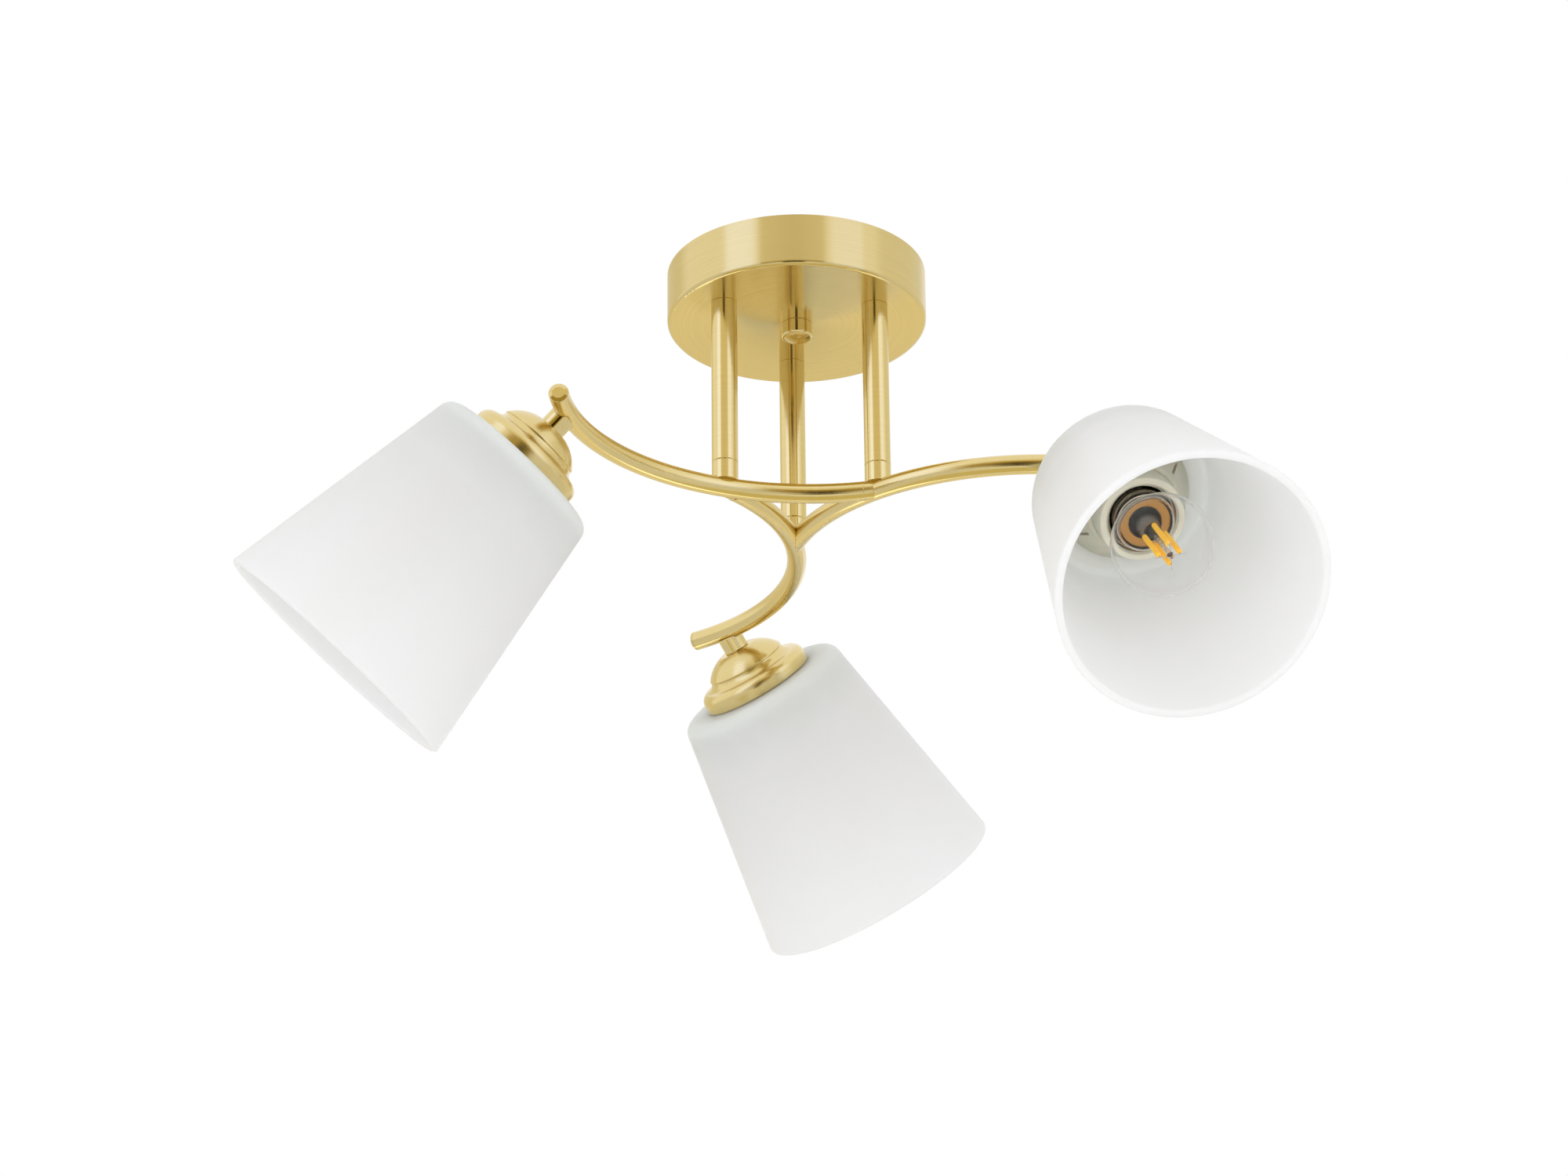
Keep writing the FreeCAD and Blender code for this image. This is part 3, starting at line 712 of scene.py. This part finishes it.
class LIGHT_OT_arms(PieceOperator, bpy.types.Operator):
    """Three curved tube arms, each butted against the next, with their end plugs"""
    bl_idname = "light.arms"
    bl_label = "Arms"
    braze_inset, braze_bite = 0.12, 0.02    # below the tube's surface, and past its end
    plug_depth, plug_gap = 3.0, 0.1         # how far the plug goes in, and its clearance

    def first(self, s):
        """Angle on the arc at the stem's axis."""
        return math.pi / 2 - math.asin(stem_offsets(s)[0] / mm(s.arm_bend))

    def tube(self, s, radius, section, a):
        """Points of a tube: centre + (bend + r cos b)(cos a, sin a), and r sin b up."""
        across, up = radius * np.cos(section), radius * np.sin(section)
        return arc_centre(s) + spun(mm(s.arm_bend) + across, up, a)

    def saddle(self, s, section, radius):
        """Angle on the arc where a line of the tube meets the next arm, by bisection."""
        other = arm_turns()[1][1][:3, :3] @ arc_centre(s)
        low, high = (np.full(section.shape, self.first(s) + more) for more in (0.01, 0.35))
        for _ in range(40):
            middle = (low + high) / 2
            x, y, z = (self.tube(s, radius, section, middle) - other).T
            away = np.hypot(np.hypot(x, y) - mm(s.arm_bend), z)
            inside = away < mm(s.arm_radius) + SEAT
            low, high = np.where(inside, middle, low), np.where(inside, high, middle)
        return high

    def wall(self, s, radius, rows, section, stop, butt):
        """Grid and grain of one wall of the tube, from its butted end to stop."""
        start = np.maximum(self.saddle(s, section, radius), butt)
        t = np.linspace(0, 1, rows)[:, None]
        t = np.vstack([t[:1], [[0.002]], t[1:-1], [[0.998]], t[-1:]])
        a = start + (stop - start) * t
        return self.tube(s, radius, section, a), spun(radius, a * mm(s.arm_bend), section)

    def braze(self, s, section, butt):
        """Grid and grain that fill the gap between the butted end and the arm that passes."""
        radius = mm(s.arm_radius) - self.braze_inset
        butt -= self.braze_bite / mm(s.arm_bend)
        return [capped(v) for v in self.wall(s, radius, 8, section, butt, self.first(s))]

    def plug(self, s):
        """Outline of the plug, which is a spigot in the bore and a slightly domed disc."""
        r, t, bore = mm(s.arm_radius), mm(s.plug_face), mm(s.arm_bore) - self.plug_gap
        deep = -self.plug_depth
        return outline([(0, deep), (bore - 0.5, deep, 0.3), (bore, -0.6, 0.2), (bore, 0.05),
                        (r, 0.05), (r, t - 0.2, 0.35), (r * 0.6, t + 0.12), (0, t + 0.24)],
                       closed=False, step=0.8)

    def make(self, s):
        """Outer wall out, inner wall back, a plug in the free end and braze at the butt."""
        section, plug = around(48), self.plug(s)
        stop = s.arm_tip - s.plug_face / s.arm_bend
        butt = self.first(s) + s.arm_butt / s.arm_bend
        outer = self.wall(s, mm(s.arm_radius), 150, section, stop, butt)
        inner = self.wall(s, mm(s.arm_bore), 60, section, stop, butt)
        tube, tube_grain = (np.concatenate([a, b[::-1]]) for a, b in zip(outer, inner))
        joint, joint_grain = self.braze(s, section, butt)
        onto = np.array(Matrix.Translation(arc_point(s, stop)) @ Matrix.Rotation(stop, 4, "Z")
                        @ Matrix.Rotation(-math.pi / 2, 4, "X"))
        for n, turn in arm_turns():
            arm = make_piece("arm_tube_%d" % n, tube, tube_grain, True, turn)
            dress(arm, "arm", FIXTURE, "arm_%d" % n)
            dress(make_piece("arm_braze_%d" % n, joint, joint_grain, place=turn), "arm", FIXTURE)
            end = turned("arm_end_%d" % n, plug, 64, False, turn @ onto)
            dress(end, "polished", FIXTURE, "arm_plug_%d" % n)


class LIGHT_OT_necks_and_cups(PieceOperator, bpy.types.Operator):
    """Polished necks saddled on the arms, and the spun cups below them"""
    bl_idname = "light.necks_and_cups"
    bl_label = "Necks and cups"
    neck_bore, nipple, nipple_run = 3.0, 4.9, 16    # radii of the neck's hole and nipple
    cup_bore, cup_flat, sheet = 5.0, 9.0, 1         # radii of the cup's hole and flat top

    def neck(self, s):
        """Tube whose top edge follows the arm: height -sqrt(R^2 - x^2) inside the saddle."""
        r, bore, foot = mm(s.neck_radius), self.neck_bore, -mm(s.cup_top)
        a, saddle = around(96), mm(s.arm_radius) + SEAT

        def edge(radius):
            """Height of the saddle cut round a circle of this radius."""
            x, y = radius * np.cos(a), radius * np.sin(a)
            bow = y ** 2 / (2 * mm(s.arm_bend)) * math.sqrt(0.5)
            depth = np.sqrt(np.maximum(saddle ** 2 - (x + bow) ** 2, 0))
            return np.minimum(-2.6, bow - depth)

        rows = [(r, edge(r) * (1 - t) + (foot + 0.3) * t)
                for t in (0, 0.03, 0.2, 0.4, 0.6, 0.8, 0.95, 1.0)]
        rows += [(r - 0.1, foot + 0.09), (r - 0.3, foot), (self.nipple, foot),
                 (self.nipple, foot - self.nipple_run), (bore, foot - self.nipple_run)]
        rows += [(q, edge(q)) for q in bore + (r - bore) * np.array([0, 0.25, 0.5, 0.75])]
        return np.stack([spun(q, z, a) for q, z in rows])

    def cup(self, s):
        """Spun sheet: domed top, fine step, hollow shoulder, rolled bead and skirt."""
        top, rim, r = -mm(s.cup_top), -mm(s.shade_top), mm(s.cup_radius)
        flat, under = self.cup_flat, top - self.sheet
        dome = arc((flat, top), (14.9, top - 2.9), (19.3, top - 7.5), 14)
        shoulder = arc((19.1, top - 8.4), (20.9, top - 10.9), (23.9, rim + 8.6), 10)
        bead = arc((23.9, rim + 8.6), (26.4, rim + 7.1), (r, rim + 4.2), 10)
        inner_bead = arc((r - 1, rim + 4.0), (25.6, rim + 6.3), (23.3, rim + 7.7), 8)
        inner_shoulder = arc((23.3, rim + 7.7), (20.0, top - 11.6), (18.1, top - 8.7), 8)
        inner_dome = arc((18.2, top - 7.9), (14.5, top - 3.8), (flat, under), 10)
        return outline([(self.cup_bore, top), *dome, (19.45, top - 7.9), *shoulder, *bead[1:],
                        (r, rim + 0.3), (r - 0.3, rim), (r - 0.8, rim), (r - 1, rim + 0.2),
                        *inner_bead, *inner_shoulder[1:], *inner_dome, (self.cup_bore, under)],
                       step=1.2)

    def make(self, s):
        """One neck and one cup for each arm."""
        neck, cup = self.neck(s), self.cup(s)
        for n, place in lamp_heads(s):
            dress(make_piece("neck_%d" % n, neck, None, True, place), "polished", FIXTURE,
                  "lamp_neck_%d" % n)
            dress(turned("shade_cup_%d" % n, cup, 160, True, place), "cup", FIXTURE, "cup_%d" % n)


class LIGHT_OT_shades(PieceOperator, bpy.types.Operator):
    """Opal glass shades"""
    bl_idname = "light.shades"
    bl_label = "Shades"
    hole, end_wall = 20, 4      # radius of the hole for the holder, thickness of the end

    def make(self, s):
        """A cone with a rounded closed end, an even wall and a fire-polished lip."""
        top, small, large = -mm(s.shade_top), mm(s.shade_small), mm(s.shade_large)
        run, wall, end = mm(s.shade_length), mm(s.shade_wall), self.end_wall
        slope = (large - small) / run
        across = wall * math.hypot(1, slope)
        line = outline([(self.hole, top, 0.6), (small, top, 6), (large, top - run, 1.65),
                        (large - across, top - run, 1.65),
                        (small + end * slope - across, top - end, 3),
                        (self.hole, top - end, 0.6)], step=2.5, arc_steps=10)
        for n, place in lamp_heads(s):
            dress(make_piece("opal_shade_%d" % n, lathe(line, 224), None, True, place), "opal",
                  FIXTURE, "shade_%d" % n)


class LIGHT_OT_holder_shells(PieceOperator, bpy.types.Operator):
    """Threaded metal shells in the lampholders"""
    bl_idname = "light.holder_shells"
    bl_label = "Holder shells"
    radius, groove = 15, 13.9   # outside, and middle of the thread inside

    def make(self, s):
        """Plain outside, rolled thread inside, flared lip at the mouth."""
        top, end = -mm(s.shade_top + s.shell_top), -mm(s.shade_top + s.shell_end)
        outside = lathe([(self.radius, z) for z in (end, end + 4, top - 4, top)], 96)
        inside = thread(self.groove, 0.28, top, end + 1, 96, top - 2, end + 2)
        lip = lathe([(14.2, end + 0.3), (14.6, end)], 96)
        grid = np.concatenate([outside, inside, lip])
        for n, place in lamp_heads(s):
            dress(make_piece("thread_shell_%d" % n, grid, None, True, place), "nickel", FIXTURE,
                  "holder_sleeve_%d" % n)


class LIGHT_OT_bulbs(PieceOperator, bpy.types.Operator):
    """Globe lamps: clear globe, screw cap, neck cement, glass mount, light rods and wires"""
    bl_idname = "light.bulbs"
    bl_label = "Globe lamps"
    glass, rods, rod_ring = 0.4, 4, 4.6     # globe's wall, rods and the radius of their circle
    rod_from, rod_to = 54.0, 79.0           # depths of their ends below the closed end

    def globe(self, s):
        """Even shell: straight neck, throat on one arc, then a sphere (R sin t, c - R cos t)."""
        c, n = -mm(s.shade_top + s.globe_centre), -mm(s.shade_top + s.cap_end)

        def wall(radius, neck):
            """Outline from the neck's end to the pole."""
            t = np.linspace(math.radians(127), 0, 40)
            ball = np.stack([radius * np.sin(t), c - radius * np.cos(t)], 1)
            leave = np.array([neck, n - 1.5])
            middle = leave + (ball[0] - leave) * (0.36, 0.56)
            throat = arc(leave, middle, ball[0], 10)
            return np.vstack([[(neck, n + 2)], throat, ball[1:]])

        r, neck = mm(s.globe_radius), mm(s.globe_neck)
        line = np.vstack([wall(r - self.glass, neck - self.glass)[::-1], wall(r, neck)])
        line[[0, -1], 0] = 0
        return line

    def cap(self, s):
        """Screw cap with a rolled thread, a plain skirt and a crimped rim, and its inside."""
        z1, z0 = -mm(s.shade_top + s.cap_top), -mm(s.shade_top + s.cap_end)
        head = lathe([(10.65, z1), (11.4, z1 - 0.25), (12.3, z1 - 1.0)], 128)
        outside = thread(12.85, 0.32, z1 - 1.6, z0 + 3.4, 128, z1 - 1.6, z0 + 3.6)
        skirt = lathe([(12.9, z0 + 3.1), (13.1, z0 + 2.8), (13.1, z0 + 0.6), (13.3, z0 + 0.25),
                       (13.25, z0), (12.55, z0), (12.55, z0 + 2.2), (12.1, z0 + 2.6),
                       (12.1, z1 - 1.9), (10.5, z1 - 0.7)], 128)
        return np.concatenate([head, outside, skirt])

    def cement(self, s):
        """Amber ring behind the glass flare."""
        n = -mm(s.shade_top + s.cap_end)
        return outline([(7.2, n + 2.6), (11.4, n + 2.6, 0.3), (11.4, n + 1.6, 0.3),
                        (9.5, n + 1.5, 0.6), (7.2, n + 1.7, 0.2)], step=0.8)

    def mount(self, s):
        """Flare, tube, press and post with the button at its end, on the lamp's axis."""
        g, n = -mm(s.shade_top), -mm(s.shade_top + s.cap_end)
        flare = arc((11.3, n + 0.7), (7.0, n - 0.5), (4.9, n - 4.0), 10)
        press = arc((4.2, g - 50.6), (3.2, g - 52.8), (1.0, g - 53.4), 8)
        button = arc((0.9, g - 79.2), (1.7, g - 80.4), (0, g - 81.4), 10)
        return outline([(0, n + 1.0), (8.4, n + 1.3), (11.3, n + 1.3), *flare, (4.5, g - 48),
                        *press, *button], closed=False, step=1.5)

    def rod_angle(self, s, i):
        """Where rod i stands round the lamp's axis."""
        return 2 * math.pi * (i + 0.5) / self.rods + s.rod_turn

    def rod(self, s, i):
        """One light rod: a rounded bar parallel to the axis, grid."""
        r, g, a = mm(s.rod_radius), -mm(s.shade_top), self.rod_angle(s, i)
        end = arc((0, -r), (r * math.sqrt(0.5), -r * math.sqrt(0.5)), (r, 0), 6)
        low, high = g - self.rod_to + r + 0.4, g - self.rod_from - r - 0.4
        line = np.vstack([end + (0, low), (end * (1, -1))[::-1] + (0, high)])
        return lathe(subdivide(line, 1.0), 20) + spun(self.rod_ring, 0, a)

    def wire(self, points, radius):
        """Tube along a smooth line through points in one upright plane, grid."""
        points = np.array(points, float)
        at, t = np.linspace(0, 1, len(points)), np.linspace(0, 1, 14)
        path = np.stack([smooth(t, at, points[:, k]) for k in range(3)], 1)
        ahead = np.gradient(path, axis=0)
        ahead /= np.linalg.norm(ahead, axis=1)[:, None]
        across = np.cross(points[-1] - points[0], [0, 0, 1.0])
        across /= np.linalg.norm(across)
        side = np.cross(ahead, across)
        a = around(8)[None, :, None]
        return capped(path[:, None] + radius * (np.cos(a) * side[:, None] + np.sin(a) * across))

    def wires(self, s):
        """Lead wires from the press, tip wires from the button, and the tips' metal ends."""
        g, ring, out = -mm(s.shade_top), self.rod_ring, []
        leads = (([(3.0, 51.6), (3.9, 52.6), (ring, 53.2), (ring + 0.01, self.rod_from + 0.7)],
                  0.24),
                 ([(1.3, 80.3), (2.8, 80.7), (ring - 0.3, 80.2), (ring, self.rod_to - 0.6)], 0.2),
                 ([(ring - 0.2, 80.2), (ring + 1.2, 80.9), (ring + 2.2, 80.6)], 0.16))
        for i in range(self.rods):
            a = self.rod_angle(s, i)
            for route, radius in leads:
                points = [(r * math.cos(a), r * math.sin(a), g - depth) for r, depth in route]
                out.append(self.wire(points, radius))
        return out

    def make(self, s):
        """One lamp for each holder; all of it turns with the lamp."""
        rods = [self.rod(s, i) for i in range(self.rods)]
        pieces = (("lamp_globe", lathe(self.globe(s), 96), False, "clear", "bulb_globe"),
                  ("lamp_cap", self.cap(s), True, "nickel", "bulb_cap"),
                  ("neck_cement", lathe(self.cement(s), 96), True, "amber", None),
                  ("glass_mount", lathe(self.mount(s), 64), False, "mount", "bulb_mount"),
                  ("light_rods", rods, False, "phosphor", "bulb_filaments"),
                  ("lead_wires", self.wires(s), False, "wire", "bulb_wires"))
        for n, place in lamp_heads(s):
            for name, grid, closed, finish, node in pieces:
                nodes = ["%s_%d" % (node, n)] if node else []
                dress(make_piece("%s_%d" % (name, n), grid, None, closed, place), finish,
                      "bulb_%d" % n, *nodes)


class LIGHT_OT_stage(PieceOperator, bpy.types.Operator):
    """Floor, white surroundings, soft lamps, cards for the metal and the camera"""
    bl_idname = "light.stage"
    bl_label = "Stage"
    surround = 0.84     # level of the white that soft light comes from
    floor_level, floor_half = -3.4, 60.0    # in metres
    middle = Vector((0, 0, -0.13))
    swing = math.radians(-3.696)    # how far the camera's side is from -Y
    eye = Vector((0, -1.973636, -1.059081))
    turn, rise, roll = -0.00369, 0.42778, -0.01099
    sensor, lens = 36.0, 110.157
    # name, turn, rise, distance, width, height, level, colour, what doesn't see it
    lamps = (("left box", -50, 18, 2.4, 1.1, 2.2, 0.34, (0.55, 0.85, 2.4), "diffuse"),
             ("right box", 45, 10, 2.4, 1.2, 2.2, 0.24, (0.55, 0.85, 2.4), "diffuse"),
             ("front light", 0, -8, 3.2, 2.6, 2.4, 1.3, (1, 1, 1), "glossy"),
             ("left fill", -62, -30, 3.2, 2.6, 2.4, 0.7, (1, 1, 1), "glossy"),
             ("right fill", 62, -30, 3.2, 2.6, 2.4, 0.65, (1, 1, 1), "glossy"))
    # name, turn, rise, distance, width, height, colour
    cards = (("fan card right", 150, -58, 2.6, 0.6, 0.9, (1.8, 1.8, 1.6)),
             ("fan card left", -148, -57, 2.6, 0.7, 0.9, (1.8, 1.8, 1.6)),
             ("front card", -3, 1, 3.0, 3.0, 2.0, (0.42, 0.31, 0.08)),
             ("upper front card", -3, 28, 3.0, 2.9, 0.8, (0.80, 0.71, 0.46)),
             ("dark card", -2, -12, 2.9, 0.9, 2.8, (0.03, 0.02, 0.0)),
             ("low front card", 0, -43, 2.6, 1.6, 0.5, (0.98, 0.95, 0.80)),
             ("low card", 0, -85, 2.7, 3.4, 2.6, (0.68, 0.60, 0.32)),
             ("low back card", 180, -30, 3.0, 4.4, 2.0, (0.90, 0.83, 0.62)),
             ("right card", 112, 10, 3.0, 4.0, 3.5, (0.84, 0.82, 0.72)),
             ("back card", -142, 10, 3.0, 2.4, 3.5, (0.80, 0.75, 0.56)))

    def facing(self, obj, turn, rise, away):
        """Puts a lamp or card, looking at the light, at degrees round from the camera and up."""
        a, e = math.radians(turn) + self.swing, math.radians(rise)
        out = Vector((math.sin(a) * math.cos(e), -math.cos(a) * math.cos(e), math.sin(e)))
        place = self.middle + away * out
        obj.location = place
        obj.rotation_mode = "QUATERNION"
        obj.rotation_quaternion = (self.middle - place).to_track_quat("-Z", "Y")
        obj.visible_camera = False

    def backdrop(self):
        """White to the eye, in metal and through glass, and a plain level elsewhere."""
        world = bpy.data.worlds.new("studio")
        bpy.context.scene.world = world
        world.use_nodes = True
        t = Tree(world.node_tree)
        base = t.tree.nodes["Background"].inputs
        t.plug(bpy.context.scene.light_finishes.backdrop, base["Color"])
        path = t.add("ShaderNodeLightPath").outputs
        seen = t.maths("MAXIMUM", path["Is Camera Ray"], path["Is Glossy Ray"])
        seen = t.maths("MAXIMUM", seen, path["Is Transmission Ray"])
        t.plug(t.span(seen, self.surround, 1.0), base["Strength"])

    def lamp(self, name, turn, rise, away, wide, high, level, rgb, unseen):
        """A soft box as bright as its level over the surroundings, whose white is 1."""
        data = bpy.data.lights.new(name, "AREA")
        data.shape, data.size, data.size_y = "RECTANGLE", wide, high
        data.color = rgb
        data.energy = level * math.pi * wide * high
        obj = linked(name, data)
        self.facing(obj, turn, rise, away)
        setattr(obj, "visible_" + unseen, False)

    def plane(self, name, x, y, z, material):
        """A rectangle from -x to x and -y to y at height z."""
        mesh = bpy.data.meshes.new(name)
        mesh.from_pydata([(-x, -y, z), (x, -y, z), (x, y, z), (-x, y, z)], [], [(0, 1, 2, 3)])
        mesh.materials.append(material)
        obj = linked(name, mesh)
        return obj

    def card(self, name, turn, rise, away, wide, high, rgb):
        """A card that only the metal and gloss see, with an even tone."""
        f = Finish(name, Base_Color=(0, 0, 0), Specular_IOR_Level=0.0, Emission_Color=rgb,
                   Emission_Strength=1.0)
        obj = self.plane(name, wide / 2, high / 2, 0, f.material)
        self.facing(obj, turn, rise, away)
        obj.visible_diffuse = obj.visible_transmission = obj.visible_shadow = False

    def floor(self):
        """Plain pale floor far below the light, a little paler to the eye."""
        f = Finish("pale floor", Roughness=0.8, Emission_Color=(1, 1, 1))
        seen = f.add("ShaderNodeLightPath").outputs["Is Camera Ray"]
        cloud = f.noise(f.place(), 0.0007, 1.0)
        f.feed(Base_Color=f.blend(f.between(cloud, 0, 1), (0.87,) * 3, (0.88,) * 3),
               Emission_Strength=f.maths("MULTIPLY", seen, 0.16))
        self.plane("floor", self.floor_half, self.floor_half, self.floor_level, f.material)

    def camera(self):
        """Below the light, looking up at it, as in the photograph."""
        data = bpy.data.cameras.new("view")
        data.sensor_width, data.lens = self.sensor, self.lens
        data.clip_start, data.clip_end = 0.05, 50
        obj = linked("view", data)
        look = (Matrix.Rotation(-self.turn, 4, "Z")
                @ Matrix.Rotation(math.pi / 2 + self.rise, 4, "X")
                @ Matrix.Rotation(self.roll, 4, "Z"))
        about = Matrix.Rotation(self.swing, 4, "Z")
        obj.matrix_world = about @ Matrix.Translation(self.eye) @ look
        bpy.context.scene.camera = obj

    def make(self, s):
        """Sets up the studio."""
        bpy.context.scene.view_settings.view_transform = "Standard"
        self.backdrop()
        self.floor()
        for lamp in self.lamps:
            self.lamp(*lamp)
        for card in self.cards:
            self.card(*card)
        self.camera()


OPERATORS = (LIGHT_OT_ceiling_parts, LIGHT_OT_cap_nut, LIGHT_OT_arms, LIGHT_OT_necks_and_cups,
             LIGHT_OT_shades, LIGHT_OT_holder_shells, LIGHT_OT_bulbs, LIGHT_OT_stage)


class LIGHT_PT_panel(bpy.types.Panel):
    """Sizes, finishes and one button for each group of pieces"""
    bl_idname = "LIGHT_PT_panel"
    bl_label = "Ceiling Light"
    bl_space_type = "VIEW_3D"
    bl_region_type = "UI"
    bl_category = "Ceiling Light"

    def draw(self, context):
        """Lists the operators and then the sizes and colours."""
        for operator in OPERATORS:
            self.layout.operator(operator.bl_idname)
        for group in (context.scene.light_sizes, context.scene.light_finishes):
            column = self.layout.column()
            for key in group.__annotations__:
                column.prop(group, key)


CLASSES = (LightSizes, Finishes) + OPERATORS + (LIGHT_PT_panel,)


def register():
    """Adds the classes and the scene's settings."""
    for cls in CLASSES:
        bpy.utils.register_class(cls)
    bpy.types.Scene.light_sizes = bpy.props.PointerProperty(type=LightSizes)
    bpy.types.Scene.light_finishes = bpy.props.PointerProperty(type=Finishes)


def unregister():
    """Takes them away again."""
    del bpy.types.Scene.light_sizes
    del bpy.types.Scene.light_finishes
    for cls in reversed(CLASSES):
        bpy.utils.unregister_class(cls)


def main():
    """Makes every piece and the stage."""
    register()
    bpy.ops.light.ceiling_parts()
    bpy.ops.light.cap_nut()
    bpy.ops.light.arms()
    bpy.ops.light.necks_and_cups()
    bpy.ops.light.shades()
    bpy.ops.light.holder_shells()
    bpy.ops.light.bulbs()
    bpy.ops.light.stage()


if __name__ == "__main__":
    main()
